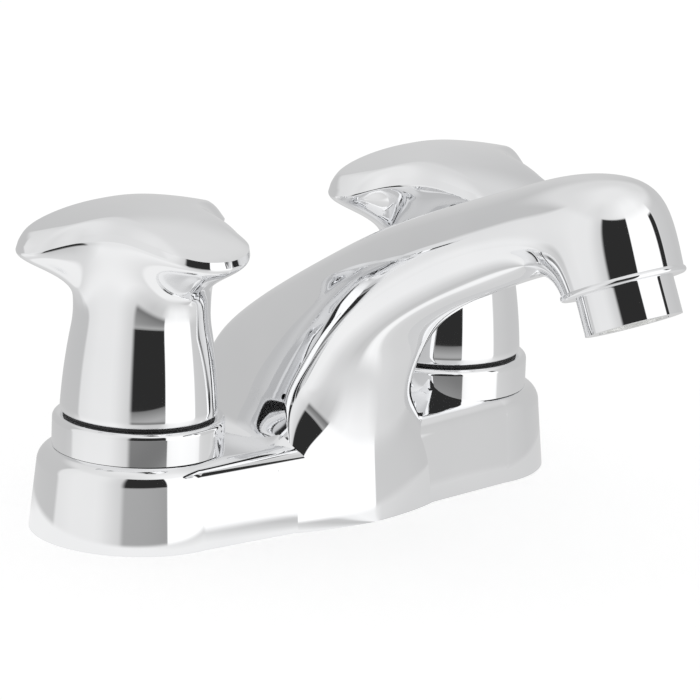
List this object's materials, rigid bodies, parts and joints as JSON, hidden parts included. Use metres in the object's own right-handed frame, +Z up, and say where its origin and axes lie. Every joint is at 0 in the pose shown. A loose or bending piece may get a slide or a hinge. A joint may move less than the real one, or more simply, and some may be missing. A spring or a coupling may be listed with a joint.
{
  "type": "centerset bathroom faucet",
  "caption": "Two-handle centerset basin faucet: one cast base and arched spout, winged lever handles on quarter-turn valves, aerator outlet and threaded shanks with lock nuts.",
  "frame": {"origin": "on the deck under the base, midway between the two handle axes", "axes": "+X from the hot handle to the cold handle, +Y from the spout to the wall, +Z up from the deck"},
  "size_m": [0.1648, 0.1526, 0.1472],
  "materials": {
    "chrome_body": "polished chrome plate on cast metal",
    "steel": "plain stamped sheet",
    "rubber": "matte",
    "brass": "machined",
    "copper": "drawn tube",
    "ceramic": "lapped",
    "plastic": "moulded"
  },
  "bodies": {
    "faucet": {"spout_body": "chrome_body", "base_plate": "steel", "deck_gasket": "rubber", "hot_valve_body": "brass", "cold_valve_body": "brass", "mixing_bridge": "brass", "spout_tube": "copper", "outlet_socket": "brass", "hot_seat_seal": "rubber", "cold_seat_seal": "rubber", "hot_fixed_disc": "ceramic", "cold_fixed_disc": "ceramic", "hot_cartridge": "brass", "cold_cartridge": "brass", "hot_collar": "chrome_body", "cold_collar": "chrome_body", "aerator_housing": "chrome_body", "aerator_insert": "plastic", "aerator_washer": "rubber", "hot_washer": "steel", "cold_washer": "steel", "hot_lock_nut": "brass", "cold_lock_nut": "brass"},
    "hot_lever": {"hot_handle": "chrome_body", "hot_handle_screw": "steel", "hot_spindle": "brass", "hot_moving_disc": "ceramic", "hot_stem_seal": "rubber"},
    "cold_lever": {"cold_handle": "chrome_body", "cold_handle_screw": "steel", "cold_spindle": "brass", "cold_moving_disc": "ceramic", "cold_stem_seal": "rubber"}
  },
  "joints": [
    {"name": "hot_handle_turn", "type": "hinge", "parent": "faucet", "child": "hot_lever", "pos_m": [-0.0508, 0, 0.04], "axis": [0, 0, 1], "range_deg": [-90, 0]},
    {"name": "cold_handle_turn", "type": "hinge", "parent": "faucet", "child": "cold_lever", "pos_m": [0.0508, 0, 0.04], "axis": [0, 0, 1], "range_deg": [0, 90]}
  ]
}
